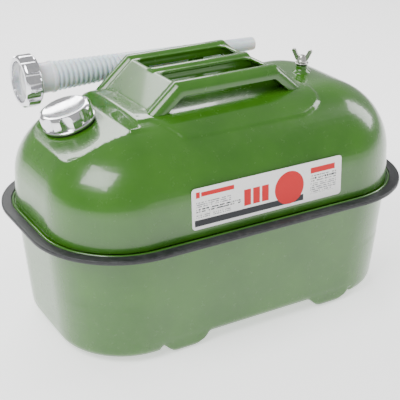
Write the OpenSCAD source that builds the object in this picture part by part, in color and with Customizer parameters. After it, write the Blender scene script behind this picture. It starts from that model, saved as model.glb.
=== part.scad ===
// Twenty litre lying fuel can: a two-piece pressed steel tank with a bridge handle,
// a lobed screw cap, an air valve with a wing bolt and a stored pouring spout.
// Millimetres. X is the length, Y the depth with the front at -Y, and Z is up.
// The origin is the middle of the can's outline, on the floor.

/* [Tank] */
// Length over the rubber trim
can_length = 454; // [448:2:545]
// Depth over the rubber trim
can_depth = 273; // [270:1:276]
// Plan radius of the trim at the four corners
trim_corner_radius = 101; // [98:1:104]
// Height of the joint between the two pressings
seam_height = 136; // [134:1:163]
// Height of the flat top of the upper pressing
deck_height = 250; // [248:0.5:300]
// Radius of the shoulder between wall and top
shoulder_radius = 80; // [78:1:82]
// Inward lean of the upper wall
upper_draft = 2.5; // [2:0.5:3]
// Inward lean of the lower wall
lower_draft = 4.5; // [4:0.5:5]
// Thickness of the steel sheet
sheet = 1; // [0.9:0.1:1.1]

/* [Seam] */
// Distance from the trim's outer edge to the foot of the wall
wall_inset = 15.6; // [15.4:0.1:16]
// Width of the rubber trim
trim_width = 11.5; // [11:0.5:12]
// Height of the rubber trim
trim_height = 4.8; // [4.6:0.2:5.2]
// Bite of the trim beyond the steel edge
trim_lip = 1.5; // [1.3:0.1:1.7]

/* [Feet] */
// How far the two foot ribs stand below the bottom
rib_depth = 11; // [10:0.5:12]
// Width of a foot rib where it leaves the bottom
rib_width = 50; // [48:1:52]
// Radius of the bottom edge
bottom_radius = 11; // [10:1:12]
// How far the two end pans stand below the bottom
pan_depth = 6; // [5:0.5:6.5]

/* [Filler] */
// Slope of the filler facet
facet_tilt = 16; // [15:1:17]
// Height of the facet at its foot by the step
facet_drop = 10; // [9.5:0.5:11]
// Distance from the middle of the can to the step
step_x = 112; // [111:1:113]
// Distance from the middle of the can to the filler
filler_x = 152; // [151:1:153]
// Distance of the filler behind the middle
filler_y = 26; // [24:1:27]
// Radius over the lobes of the filler cap
cap_radius = 29; // [28.5:0.5:29.5]
// Height of the filler cap
cap_height = 19; // [18.5:0.5:20]
// Outer radius of the filler neck
neck_radius = 22; // [21.5:0.5:22.5]

/* [Handle] */
// Distance of the handle behind the middle
handle_y = 12; // [11:1:12]
// Length of the straight bars
bar_length = 124; // [120:1:140]
// Distance between neighbouring bars
bar_spacing = 55; // [54:1:56]
// Width of a bar
bar_width = 20; // [19:0.5:21]
// Depth of a bar
bar_depth = 14; // [13.5:0.5:14.5]
// Height of the handle above its platform
handle_rise = 29; // [28.5:0.5:30]
// Run of each sloping end
end_run = 33; // [32:1:34]
// Thickness of the handle's steel
handle_sheet = 1.6; // [1.5:0.1:1.7]

/* [Air valve] */
// Distance from the middle of the can to the air valve
vent_x = 129; // [128:1:130]
// Radius of the bolt's shank
vent_bolt_radius = 3; // [2.75:0.25:3.25]

/* [Spout] */
// Distance of the spout's centre line behind the middle
spout_y = 102; // [101.5:0.5:103]
// Radius of the spout at its mouth
spout_mouth_radius = 17.5; // [17:0.5:18]
// Radius of the spout at its tip
spout_tip_radius = 8; // [7.5:0.5:8.5]
// Wall of the spout
spout_wall = 1.5; // [1.4:0.1:1.6]
// Outer radius of the ring nut
ring_radius = 29.5; // [29:0.5:30]

/* [Label] */
// Width of the label
label_width = 187; // [180:1:190]
// Height of the label
label_height = 45; // [43:1:46]

/* [Hidden] */
$fn = 64;

corner_steps = 10;
arc_steps = 12;
half_length = can_length / 2;
half_depth = can_depth / 2;
flange_edge = trim_lip;
bottom_height = rib_depth;
wall_top = deck_height - shoulder_radius;
wall_top_inset = wall_inset + (wall_top - seam_height) * tan(upper_draft);
left_stretch = 1.3;
pad_rise = 2;
pad_height = deck_height + pad_rise;
pad_front_y = -88;
pad_right_x = 104;
pad_rear_y = handle_y + bar_spacing + bar_width / 2 + 6;
label_rise = 0.3;
label_centre_x = 8;
label_centre_z = 170.5;
rib_positions = [-86, 104];
pan_edges = [135, 117];

// A point of the outline's corner: corner 0 is right rear, then counter-clockwise
function ring_point(left, right, half_w, left_r, right_r, corner, turn, z) =
  let (
    is_right = corner == 0 || corner == 3,
    r = is_right ? right_r : left_r,
    cx = is_right ? right - r : left + r,
    cy = (corner < 2 ? 1 : -1) * (half_w - r)
  )
  [cx + r * cos(turn), cy + r * sin(turn), z];

// The outline at one height, pulled in by a distance, with a longer pull on the left
function outline(inset, z, extra_left = 0) =
  let (
    left = -(half_length - inset - extra_left),
    right = half_length - inset,
    half_w = half_depth - inset,
    right_r = max(trim_corner_radius - inset, 3),
    left_r = min(max(trim_corner_radius - inset + extra_left, 3), half_w - 0.5)
  )
  [for (corner = [0:3])
    for (step = [0:corner_steps])
      ring_point(left, right, half_w, left_r, right_r, corner,
        90 * corner + 90 * step / corner_steps, z)];

// A closed solid through the outlines of a profile of [inset, height, extra left pull]
module loft(profile) {
  per_ring = 4 * (corner_steps + 1);
  rings = len(profile);
  points = [for (p = profile) each outline(p[0], p[1], len(p) > 2 ? p[2] : 0)];
  sides = [for (k = [0:rings - 2])
    for (i = [0:per_ring - 1])
      let (
        j = (i + 1) % per_ring,
        a = k * per_ring + i,
        b = k * per_ring + j
      )
      each [[a, a + per_ring, b], [b, a + per_ring, b + per_ring]]];
  bottom = [for (i = [0:per_ring - 1]) i];
  top = [for (i = [0:per_ring - 1]) rings * per_ring - 1 - i];
  polyhedron(points = points, faces = concat([bottom], sides, [top]), convexity = 6);
}

// Shoulder rings of the upper pressing, moved outward by a rise
function shoulder(rise) =
  [for (i = [0:arc_steps])
    let (
      turn = 90 * i / arc_steps,
      reach = shoulder_radius + rise,
      run = reach * (1 - cos(turn))
    )
    [wall_top_inset - rise + run, wall_top + reach * sin(turn), run * (left_stretch - 1)]];

// The upper pressing's wall and shoulder as a solid, moved outward by a rise
module upper_form(rise, from_height) {
  loft(concat([[wall_inset - rise, from_height]], shoulder(rise)));
}

// Outer surface of the upper pressing with its flange and bead
module upper_outer() {
  bead = trim_width + 0.8;
  z = seam_height + sheet;
  loft(concat(
    [
      [flange_edge, seam_height],
      [flange_edge, z],
      [bead, z],
      [bead + 0.4, z + 1.4],
      [bead + 1.2, z + 1.4],
      [bead + 1.8, z],
      [wall_inset - 0.9, z + 0.4],
      [wall_inset, z + 3]
    ],
    shoulder(0)));
}

// Plan of the raised platform under the handle
module pad_plan() {
  polygon([
    [-step_x, -53], [-97, -54], [-76, pad_front_y + 2], [-70, pad_front_y],
    [72, pad_front_y], [88, -83], [98, -76], [103, -65], [pad_right_x, -50],
    [pad_right_x, pad_rear_y - 10], [pad_right_x - 10, pad_rear_y],
    [-step_x, pad_rear_y]
  ]);
}

// Steps into the filler's frame: origin on the facet, Z along the filler's axis
module on_facet() {
  translate([-filler_x, filler_y, facet_z(-filler_x)])
    rotate([0, -facet_tilt, 0])
      children();
}

function facet_z(x) = deck_height - facet_drop + (x + step_x) * tan(facet_tilt);

// Plan of the recess round the filler, moved outward by a distance
module facet_plan(grow) {
  polygon([
    [-step_x + grow, -60 - grow], [-130, -60 - grow], [-155, -58 - grow],
    [-174, -54 - grow], [-187 - 0.5 * grow, -45 - grow], [-197 - grow, -30 - grow],
    [-half_length, -22 - grow], [-half_length, half_depth], [-step_x + grow, half_depth]
  ]);
}

// Everything above the facet, left of the step and behind the front rim
module above_facet(lower) {
  intersection() {
    rotate([90, 0, 0])
      linear_extrude(height = can_depth, center = true)
        polygon([
          [-step_x - 5 + lower, facet_z(-step_x - 5 + lower) - lower / cos(facet_tilt)],
          [-half_length, facet_z(-half_length) - lower / cos(facet_tilt)],
          [-half_length, deck_height + 40],
          [-step_x + lower, deck_height + 40],
          [-step_x + lower, deck_height - 2 - lower]
        ]);
    translate([0, 0, wall_top])
      linear_extrude(height = 2 * shoulder_radius)
        facet_plan(lower);
  }
}

module upper_shell() {
  color([0.32, 0.48, 0.18])
    difference() {
      union() {
        difference() {
          upper_outer();
          above_facet(0);
        }
        intersection() {
          upper_form(pad_rise, wall_top);
          translate([0, 0, wall_top + 1])
            linear_extrude(height = deck_height)
              pad_plan();
        }
      }
      difference() {
        upper_form(-sheet, seam_height - 1);
        above_facet(sheet);
      }
      on_facet()
        cylinder(r = neck_radius, h = 20, center = true);
      translate([vent_x, 0, deck_height - 10])
        cylinder(r = vent_boss_radius, h = 20);
    }
}

// Profile of the lower pressing's foot, from the bottom up, dropped by a distance
function lower_profile(offset, drop) =
  let (
    lean = tan(lower_draft),
    foot = bottom_height + bottom_radius,
    foot_inset = wall_inset + (seam_height - foot) * lean,
    r = bottom_radius - offset
  )
  concat(
    [for (i = [0:6])
      let (turn = 90 * i / 6)
      [foot_inset + bottom_radius - r * sin(turn), foot - r * cos(turn) - drop]]);

module lower_outer() {
  z = seam_height - sheet;
  loft(concat(
    lower_profile(0, 0),
    [
      [wall_inset, z - 2.5],
      [wall_inset - 0.9, z - 0.4],
      [wall_inset - 2.4, z],
      [flange_edge, z],
      [flange_edge, seam_height]
    ]));
}

// One foot rib's solid, grown or shrunk by an offset
module foot_ribs(offset) {
  chord = rib_width / 2;
  depth = rib_depth + 1.5;
  r = (chord * chord + depth * depth) / (2 * depth);
  intersection() {
    loft(concat(
      [for (p = lower_profile(offset + 4, rib_depth)) [p[0] - 2.5, p[1] - 4]],
      [[wall_inset + 10 + offset, seam_height - 60]]));
    for (x = rib_positions)
      translate([x, 0, r + rib_depth - depth])
        rotate([90, 0, 0])
          cylinder(r = r - offset, h = can_depth, center = true, $fn = 96);
  }
}

// The two ends of the bottom, pressed deeper than its middle
module end_pans(offset) {
  intersection() {
    loft(concat(
      lower_profile(offset, pan_depth),
      [[wall_inset + 8 + offset, seam_height - 60]]));
    for (side = [0, 1])
      mirror([side, 0, 0])
        translate([pan_edges[side] + offset, -half_depth, -1])
          cube([half_length, can_depth, seam_height]);
  }
}

module lower_shell() {
  color([0.4, 0.48, 0.36])
    difference() {
      union() {
        lower_outer();
        foot_ribs(0);
        end_pans(0);
      }
      loft(concat(
        lower_profile(sheet, 0),
        [[wall_inset + sheet, seam_height + 1]]));
      foot_ribs(sheet);
      end_pans(sheet);
    }
}

module seam_trim() {
  low = seam_height - trim_height / 2;
  high = seam_height + trim_height / 2;
  edge = 1.3;
  color([0.2, 0.2, 0.21])
    difference() {
      loft([
        [edge, low],
        [edge * 0.3, low + edge * 0.3],
        [0, low + edge],
        [0, high - edge],
        [edge * 0.3, high - edge * 0.3],
        [edge, high]
      ]);
      loft([[trim_width, low - 1], [trim_width, high + 1]]);
      loft([[flange_edge, seam_height - sheet], [flange_edge, seam_height + sheet]]);
    }
}

handle_top = pad_height + handle_rise;
half_bar = bar_length / 2;
foot_slope = atan(handle_rise / end_run);
plate_inset = 3.5;
leg_reach = 16;
foot_reach = half_bar + 2 * end_run;

// Section of a bar: a channel with a round back, its crown at the origin
module bar_section() {
  r = bar_width / 2;
  difference() {
    union() {
      translate([0, -r])
        circle(r = r);
      translate([-r, -bar_depth])
        square([bar_width, bar_depth - r]);
    }
    translate([0, -r])
      circle(r = r - handle_sheet);
    translate([handle_sheet - r, -bar_depth - 1])
      square([bar_width - 2 * handle_sheet, bar_depth + 1 - r]);
    translate([-r - 1, -bar_depth - bar_width])
      square([bar_width + 2, bar_width]);
  }
}

// A straight piece of bar along X from the origin, mitred at its start and, if asked, its end
module bar_piece(length, mitred_end) {
  lean = tan(foot_slope / 2);
  drop = bar_width;
  finish = mitred_end ? lean : 0;
  intersection() {
    translate([-drop, 0, 0])
      rotate([90, 0, 90])
        linear_extrude(height = length + 2 * drop)
          bar_section();
    rotate([90, 0, 0])
      linear_extrude(height = 2 * bar_width, center = true)
        polygon([
          [-lean, 1], [length + finish, 1], [length - finish * drop, -drop],
          [lean * drop, -drop]
        ]);
  }
}

// A bar with a sloping leg at both ends
module rail() {
  translate([-half_bar, 0, handle_top])
    bar_piece(bar_length, true);
  for (side = [0, 1])
    mirror([side, 0, 0])
      translate([half_bar, 0, handle_top])
        rotate([0, foot_slope, 0])
          bar_piece((handle_rise + leg_reach) / sin(foot_slope), false);
}

// Side profile of the end plates, moved inward by a distance
module bridge_profile(inward) {
  top_x = half_bar - inward * tan(foot_slope / 2);
  base_x = top_x + (handle_rise + leg_reach - inward) / tan(foot_slope);
  polygon([
    [-base_x, pad_height - leg_reach],
    [-top_x, handle_top - inward],
    [top_x, handle_top - inward],
    [base_x, pad_height - leg_reach]
  ]);
}

// A solid of the side profile between the outer bars
module bridge_solid(inward, half_width) {
  rotate([90, 0, 0])
    linear_extrude(height = 2 * half_width, center = true)
      bridge_profile(inward);
}

module handle() {
  slot_length = bar_length - 10;
  slot_width = bar_spacing - bar_width;
  color([0.3, 0.46, 0.18])
    difference() {
      translate([0, handle_y, 0])
        union() {
          difference() {
            bridge_solid(plate_inset, bar_spacing);
            bridge_solid(plate_inset + handle_sheet, bar_spacing + 1);
            translate([0, 0, pad_height - 3 * leg_reach])
              linear_extrude(height = 2 * leg_reach + 1)
                square([2 * foot_reach, 4 * bar_spacing], center = true);
            for (side = [-1, 1])
              translate([0, side * bar_spacing / 2, pad_height])
                linear_extrude(height = 2 * handle_rise)
                  slot_plan(slot_length, slot_width, 8);
            translate([0, 0, pad_height])
              linear_extrude(height = 2 * handle_rise)
                square([slot_length, bar_width - 2], center = true);
          }
          for (side = [-1, 1])
            translate([0, side * bar_spacing, 0])
              rail();
          translate([0, 0, handle_top - 0.5])
            middle_bar();
        }
      upper_form(pad_rise, wall_top);
    }
}

// The middle bar, running between the two end plates
module middle_bar() {
  translate([-half_bar + 2, 0, 0])
    rotate([90, 0, 90])
      linear_extrude(height = bar_length - 4)
        bar_section();
}

// A rounded slot in plan
module slot_plan(length, width, r) {
  square([length - 2 * r, width], center = true);
  square([length, width - 2 * r], center = true);
  for (sx = [-1, 1])
    for (sy = [-1, 1])
      translate([sx * (length / 2 - r), sy * (width / 2 - r)])
        circle(r = r, $fn = 32);
}

neck_rise = 13;
neck_bore = neck_radius - 2.5;
gasket_height = 2.5;
gasket_radius = cap_radius - 2;
thread_gap = 0.08;
liner_wall = 1.8;
cap_roof = 2;
disc_height = 2;

module filler_neck() {
  color([0.55, 0.56, 0.55])
    on_facet()
      difference() {
        union() {
          translate([0, 0, -6])
            cylinder(r = neck_radius, h = neck_rise + 6);
          translate([0, 0, -sheet - 1.52])
            cylinder(r = neck_radius + 3, h = 1.5);
        }
        translate([0, 0, -7])
          cylinder(r = neck_bore, h = neck_rise + 8);
      }
}

module filler_gasket() {
  color([0.1, 0.1, 0.1])
    on_facet()
      difference() {
        cylinder(r = gasket_radius, h = gasket_height);
        translate([0, 0, -1])
          cylinder(r = neck_radius + 0.3, h = gasket_height + 2);
      }
}

// Plan of a lobed grip: a disc with rounded flutes cut from its rim
module lobed_plan(radius, lobes, flute_radius, flute_depth) {
  difference() {
    circle(r = radius, $fn = 96);
    for (k = [0:lobes - 1])
      rotate(360 * (k + 0.5) / lobes)
        translate([radius - flute_depth + flute_radius, 0])
          circle(r = flute_radius, $fn = 48);
  }
}

module filler_cap() {
  base = gasket_height;
  liner_outer = neck_radius + thread_gap + liner_wall;
  color([0.75, 0.75, 0.78])
    on_facet()
      translate([0, 0, base])
        difference() {
          union() {
            cylinder(r = cap_radius - 0.8, h = 2);
            translate([0, 0, 1])
              linear_extrude(height = cap_height - 1 - 1.6)
                lobed_plan(cap_radius, 8, 10, 2.6);
            translate([0, 0, cap_height - 2])
              linear_extrude(height = 2)
                lobed_plan(cap_radius - 1.3, 8, 10, 2.2);
          }
          translate([0, 0, cap_height + 52])
            sphere(r = 54, $fn = 96);
          translate([0, 0, -1])
            cylinder(r = liner_outer, h = neck_rise - base + disc_height + 1);
        }
}

module filler_liner() {
  base = gasket_height;
  inner = neck_radius + thread_gap;
  color([0.6, 0.6, 0.58])
    on_facet()
      translate([0, 0, base])
        difference() {
          cylinder(r = inner + liner_wall, h = neck_rise - base);
          translate([0, 0, -1])
            cylinder(r = inner, h = neck_rise);
        }
}

module filler_disc() {
  color([0.15, 0.15, 0.15])
    on_facet()
      translate([0, 0, neck_rise])
        cylinder(r = neck_radius + thread_gap + liner_wall, h = disc_height);
}

vent_boss_radius = 7;
vent_boss_rise = 8;
vent_seat = deck_height + vent_boss_rise;
vent_seal_height = 1.5;
vent_washer_height = 1.5;
vent_head = vent_seat + vent_seal_height + vent_washer_height;
wing_thickness = 3;
wing_turn = -50;

module vent_boss() {
  color([0.34, 0.5, 0.2])
    translate([vent_x, 0, 0])
      difference() {
        union() {
          translate([0, 0, deck_height - 6])
            cylinder(r = vent_boss_radius, h = vent_boss_rise + 6);
          translate([0, 0, deck_height - sheet - 2])
            cylinder(r = vent_boss_radius + 2.5, h = 1.2);
          translate([0, 0, deck_height])
            cylinder(r1 = vent_boss_radius + 3, r2 = vent_boss_radius, h = 4);
        }
        translate([0, 0, deck_height - 7])
          cylinder(r = vent_bolt_radius + thread_gap, h = vent_boss_rise + 8);
      }
}

module vent_ring(z, height, radius) {
  translate([vent_x, 0, z])
    difference() {
      cylinder(r = radius, h = height);
      translate([0, 0, -1])
        cylinder(r = vent_bolt_radius + 0.1, h = height + 2);
    }
}

module vent_seal() {
  color([0.1, 0.1, 0.1])
    vent_ring(vent_seat, vent_seal_height, 6.2);
}

module vent_washer() {
  color([0.75, 0.75, 0.76])
    vent_ring(vent_seat + vent_seal_height, vent_washer_height, 8);
}

module vent_bolt() {
  color([0.78, 0.78, 0.78])
    translate([vent_x, 0, vent_head])
      rotate([0, 0, wing_turn])
      union() {
        translate([0, 0, -16])
          cylinder(r = vent_bolt_radius, h = 16.5);
        cylinder(r = 6, h = 2);
        translate([0, 0, 2])
          cylinder(r1 = 6, r2 = 4, h = 5);
        for (side = [-1, 1])
          wing(side);
      }
}

// One wing: a rounded plate that leans away from the bolt's axis
module wing(side) {
  rotate([90, 0, 0])
    linear_extrude(height = wing_thickness, center = true)
      mirror([side < 0 ? 1 : 0, 0, 0])
        polygon([
          [1.5, 1], [5.2, 1], [7.4, 3.4], [9, 7], [10.8, 10.6], [12, 13], [11.8, 14.8],
          [10.4, 15.8], [8.6, 15.6], [7.2, 14.4], [6, 11.4], [4.6, 8.8], [1.5, 7]
        ]);
}

spout_z = 258.5;
ring_left = -179;
ring_length = 19;
mouth_x = ring_left + ring_length - 4;
bellows_start = -136;
bellows_pitch = 6;
bellows_count = 13;
bellows_end = bellows_start + bellows_pitch * bellows_count;
tip_x = 127;
flange_radius = 22.5;

// Outer radius of the spout's smooth skin at a place along X
function spout_radius(x) =
  spout_mouth_radius
    + (spout_tip_radius - spout_mouth_radius) * (x - mouth_x) / (tip_x - mouth_x);

// Turns a profile of [x, radius] pairs round the spout's centre line
module turned_on_spout(profile) {
  translate([0, spout_y, spout_z])
    rotate([0, 90, 0])
      rotate_extrude($fn = 64)
        polygon([for (p = profile) [p[1], p[0]]]);
}

module spout_base() {
  start = mouth_x - 3;
  neck_in = spout_mouth_radius - spout_wall - 3;
  color([0.93, 0.93, 0.93])
    turned_on_spout([
      [start, neck_in], [start, flange_radius], [mouth_x, flange_radius],
      [mouth_x, spout_radius(mouth_x)], [bellows_start, spout_radius(bellows_start)],
      [bellows_start, spout_radius(bellows_start) - spout_wall - 1], [start + 8, neck_in]
    ]);
}

module spout_bellows() {
  depth = 1.3;
  wall = 1.1;
  outer = [for (k = [0:bellows_count - 1])
    let (x = bellows_start + k * bellows_pitch)
    each [
      [x, spout_radius(x) - depth],
      [x + 0.25 * bellows_pitch, spout_radius(x) + 0.2],
      [x + 0.6 * bellows_pitch, spout_radius(x) + 0.2],
      [x + 0.85 * bellows_pitch, spout_radius(x) - depth]
    ]];
  last = [bellows_end, spout_radius(bellows_end) - depth];
  points = concat(outer, [last]);
  inner = [for (i = [len(points) - 1:-1:0]) [points[i][0], points[i][1] - wall]];
  color([0.95, 0.95, 0.96])
    turned_on_spout(concat(points, inner));
}

module spout_tip() {
  x0 = bellows_end;
  r0 = spout_radius(x0);
  r1 = spout_tip_radius;
  color([0.94, 0.94, 0.95])
    turned_on_spout([
      [x0, r0 - spout_wall - 1], [x0, r0], [tip_x - 1, r1], [tip_x, r1 - 0.6],
      [tip_x, r1 - spout_wall], [x0 + 6, r0 - spout_wall - 1]
    ]);
}

module spout_ring() {
  lip = 4;
  color([0.75, 0.75, 0.78])
    translate([ring_left, spout_y, spout_z])
      rotate([0, 90, 0])
        difference() {
          union() {
            translate([0, 0, 1.5])
              linear_extrude(height = ring_length - 3)
                lobed_plan(ring_radius, 8, 9, 2.4);
            cylinder(r = ring_radius - 2, h = ring_length, $fn = 96);
          }
          translate([0, 0, -1])
            cylinder(r = flange_radius + thread_gap, h = ring_length - lip + 1);
          translate([0, 0, -1])
            cylinder(r = spout_mouth_radius + 0.3, h = ring_length + 2);
        }
}

module spout_gasket() {
  start = mouth_x - 3;
  color([0.85, 0.85, 0.84])
    turned_on_spout([
      [start - 2, 14.5], [start - 2, flange_radius - 0.3],
      [start, flange_radius - 0.3], [start, 14.5]
    ]);
}

clip_positions = [-36, 36];
clip_width = 12;
clip_sheet = 1.2;

// Two upward-open spring cradles on brackets behind the handle's rear bar
module spout_clips() {
  rail_face = handle_y + bar_spacing + bar_width / 2;
  plate_low = spout_z - 0.5;
  plate_high = handle_top - bar_depth + 5;
  color([0.33, 0.48, 0.2])
    for (x = clip_positions)
      let (r = spout_radius(x - clip_width / 2) + 0.1)
      union() {
        translate([x, spout_y, spout_z])
          rotate([90, 0, 90])
            linear_extrude(height = clip_width, center = true)
              difference() {
                union() {
                  circle(r = r + clip_sheet);
                  translate([-r - clip_sheet, 0])
                    square([2 * (r + clip_sheet), r * 0.55]);
                }
                circle(r = r);
                translate([-r, 0])
                  square([2 * r, 2 * r]);
              }
        translate([x - clip_width / 2, rail_face, plate_low])
          cube([clip_width, spout_y - r - 0.4 - rail_face, clip_sheet]);
        translate([x - clip_width / 2, rail_face, plate_low])
          cube([clip_width, clip_sheet, plate_high - plate_low]);
      }
}

module front_label() {
  color([0.93, 0.93, 0.93])
    intersection() {
      difference() {
        upper_form(label_rise, seam_height + 5);
        upper_form(0, seam_height + 4);
      }
      translate([label_centre_x, -half_depth + 5, label_centre_z])
        rotate([90, 0, 0])
          linear_extrude(height = 60, center = true)
            slot_plan(label_width, label_height, 4);
    }
}

lower_shell();
upper_shell();
seam_trim();
handle();
filler_neck();
filler_gasket();
filler_cap();
filler_liner();
filler_disc();
vent_boss();
vent_seal();
vent_washer();
vent_bolt();
spout_base();
spout_bellows();
spout_tip();
spout_ring();
spout_gasket();
spout_clips();
front_label();
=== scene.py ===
# %% [markdown]
# # A lying twenty litre fuel can
# A fuel can of this type is two deep-drawn steel pressings, closed by a rolled seam that a
# rubber trim covers. On top sit a bridge handle, a lobed filler cap, a small air valve and a
# pouring spout in two clips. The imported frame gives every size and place, and this lesson
# builds the visible pieces around it, in metres, with the same origin.

# %% Load the frame
import math

import bmesh
import bpy
from mathutils import Matrix, Vector


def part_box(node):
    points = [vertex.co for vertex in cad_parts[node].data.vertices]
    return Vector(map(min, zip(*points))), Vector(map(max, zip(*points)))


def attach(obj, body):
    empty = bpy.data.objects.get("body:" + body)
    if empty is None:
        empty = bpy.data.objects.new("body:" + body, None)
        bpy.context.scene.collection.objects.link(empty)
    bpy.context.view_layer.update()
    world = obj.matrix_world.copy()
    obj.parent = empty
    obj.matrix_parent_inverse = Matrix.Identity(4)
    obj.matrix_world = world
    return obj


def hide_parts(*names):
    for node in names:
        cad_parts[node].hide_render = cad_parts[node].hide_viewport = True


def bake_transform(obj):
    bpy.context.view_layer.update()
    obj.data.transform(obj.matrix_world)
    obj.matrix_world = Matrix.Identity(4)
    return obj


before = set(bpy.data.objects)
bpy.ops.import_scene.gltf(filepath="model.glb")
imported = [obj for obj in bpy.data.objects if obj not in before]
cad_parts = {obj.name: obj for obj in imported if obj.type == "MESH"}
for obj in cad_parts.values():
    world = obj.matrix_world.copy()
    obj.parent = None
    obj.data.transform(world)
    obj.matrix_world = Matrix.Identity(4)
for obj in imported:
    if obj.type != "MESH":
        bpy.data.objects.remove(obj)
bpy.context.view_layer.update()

MM = 0.001
print("nodes in the frame:", len(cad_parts))

# %% [markdown]
# ## Hands for modelling
# Every operator in edit mode acts on what is selected, so the helpers below deselect
# everything, take one object, and pick faces or edges by their place and direction.
# A block is the usual start, a prism is a flat outline given a height, and a turned piece
# is a circle that is extruded and resized from station to station, as on a lathe.

# %% Helpers for selecting
def deselect():
    """Leaves edit mode and deselects every object."""
    active = bpy.context.object
    if active and active.mode != "OBJECT":
        bpy.ops.object.mode_set(mode="OBJECT")
    bpy.ops.object.select_all(action="DESELECT")


def take(obj):
    """Makes one object the only selected and active one."""
    deselect()
    obj.select_set(True)
    bpy.context.view_layer.objects.active = obj
    return obj


def pick(obj, kind, test):
    """Enters edit mode with only the faces or edges selected that pass test(centre, way)."""
    take(obj)
    bpy.ops.object.mode_set(mode="EDIT")
    bpy.ops.mesh.select_mode(type=kind)
    bpy.ops.mesh.select_all(action="DESELECT")
    work = bmesh.from_edit_mesh(obj.data)
    for item in work.faces if kind == "FACE" else work.edges:
        if kind == "FACE":
            centre, way = item.calc_center_median(), item.normal
        else:
            first, last = item.verts
            centre, way = (first.co + last.co) / 2, (last.co - first.co).normalized()
        item.select_set(bool(test(centre / MM, way)))
    bmesh.update_edit_mesh(obj.data)
    return sum(item.select for item in (work.faces if kind == "FACE" else work.edges))


def leave():
    """Leaves edit mode."""
    bpy.ops.object.mode_set(mode="OBJECT")


# %% Helpers for starting and finishing a piece
def block(name, low, high):
    """A block between two corners, in millimetres."""
    deselect()
    centre = [(a + b) / 2 * MM for a, b in zip(low, high)]
    size = [(b - a) * MM for a, b in zip(low, high)]
    bpy.ops.mesh.primitive_cube_add(size=1, location=centre, scale=size)
    obj = bpy.context.object
    obj.name = name
    bpy.ops.object.transform_apply(location=True, rotation=True, scale=True)
    return obj


def apply(obj, kind, **settings):
    """Adds a modifier with its settings and applies it."""
    take(obj)
    modifier = obj.modifiers.new(kind.lower(), kind)
    for key, value in settings.items():
        setattr(modifier, key, value)
    bpy.ops.object.modifier_apply(modifier=modifier.name)
    return obj


def combine(obj, tool, operation="DIFFERENCE", tidy=False):
    """Cuts, joins or intersects with a tool; tidy also mends either one's own crossings."""
    apply(obj, "BOOLEAN", object=tool, operation=operation, solver="EXACT", use_self=tidy)
    bpy.data.objects.remove(tool)
    return obj


def soften(obj, width, segments=3, angle=35):
    """Rounds the sharp edges of a piece and shades it smooth."""
    apply(obj, "BEVEL", width=width * MM, segments=segments, limit_method="ANGLE",
          angle_limit=math.radians(angle), harden_normals=False, use_clamp_overlap=True)
    take(obj)
    bpy.ops.object.shade_smooth_by_angle(angle=math.radians(50))
    return obj


def press(obj, grain, passes):
    """Turns a hard solid into pressed sheet: an even mesh with every edge drawn round."""
    apply(obj, "REMESH", mode="VOXEL", voxel_size=grain * MM, adaptivity=0)
    apply(obj, "SMOOTH", factor=0.5, iterations=passes)
    take(obj)
    bpy.ops.object.shade_smooth()
    return obj


def prism(name, outline, low, high, axis="Z"):
    """A flat outline in millimetres, given a height along an axis."""
    places = {
        "Z": lambda u, v, w: (u, v, w),
        "Y": lambda u, v, w: (u, w, v),
        "X": lambda u, v, w: (w, u, v),
    }
    place = places[axis]
    mesh = bpy.data.meshes.new(name)
    obj = bpy.data.objects.new(name, mesh)
    bpy.context.collection.objects.link(obj)
    work = bmesh.new()
    rings = [[work.verts.new(Vector(place(u, v, w)) * MM) for u, v in outline] for w in (low, high)]
    work.faces.new(rings[0])
    work.faces.new(list(reversed(rings[1])))
    count = len(outline)
    for i in range(count):
        j = (i + 1) % count
        work.faces.new([rings[0][j], rings[0][i], rings[1][i], rings[1][j]])
    bmesh.ops.recalc_face_normals(work, faces=work.faces)
    work.to_mesh(mesh)
    work.free()
    return obj


def turned(name, stations, place, steps=96):
    """A lathe piece: (along, radius) stations in millimetres round the place's Z axis."""
    deselect()
    along, radius = stations[0]
    bpy.ops.mesh.primitive_circle_add(vertices=steps, radius=radius * MM)
    obj = bpy.context.object
    obj.name = name
    bpy.ops.object.mode_set(mode="EDIT")
    bpy.ops.mesh.select_all(action="SELECT")
    bpy.ops.transform.translate(value=(0, 0, along * MM))
    for (z0, r0), (z1, r1) in zip(stations, stations[1:]):
        bpy.ops.mesh.extrude_edges_move(TRANSFORM_OT_translate={"value": (0, 0, (z1 - z0) * MM)})
        if abs(r1 - r0) > 1e-6:
            scale = r1 / r0
            bpy.ops.transform.resize(value=(scale, scale, 1), center_override=(0, 0, z1 * MM))
    bpy.ops.mesh.select_all(action="SELECT")
    bpy.ops.mesh.remove_doubles(threshold=0.02 * MM)
    bpy.ops.mesh.normals_make_consistent(inside=False)
    leave()
    obj.matrix_world = place
    bpy.ops.object.transform_apply(location=True, rotation=True, scale=True)
    return obj


def placed(obj, place):
    """Bakes a place into a piece's mesh."""
    obj.matrix_world = place @ obj.matrix_world
    take(obj)
    bpy.ops.object.transform_apply(location=True, rotation=True, scale=True)
    return obj


# %% [markdown]
# ## Sizes and places
# The frame's boxes give the driving sizes. The seam's height is the middle of the trim, the
# feet stand on the floor, and the spout's axis is the middle of its tip.

# %% Sizes from the frame
def node_box(name):
    """A frame node's two corners, in millimetres."""
    low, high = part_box(name)
    return Vector(low) / MM, Vector(high) / MM


trim_low, trim_high = node_box("seam_trim")
half_length, half_depth = trim_high.x, trim_high.y
seam = (trim_low.z + trim_high.z) / 2
handle_low, handle_high = node_box("handle")
handle_y = (handle_low.y + handle_high.y) / 2
handle_top = handle_high.z
tip_low, tip_high = node_box("spout_tip")
spout_y, spout_z = (tip_low.y + tip_high.y) / 2, (tip_low.z + tip_high.z) / 2
vent_low, vent_high = node_box("vent_boss")
vent_x = (vent_low.x + vent_high.x) / 2
print("outline", half_length, half_depth, "seam", seam, "handle top", round(handle_top, 1))

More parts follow.
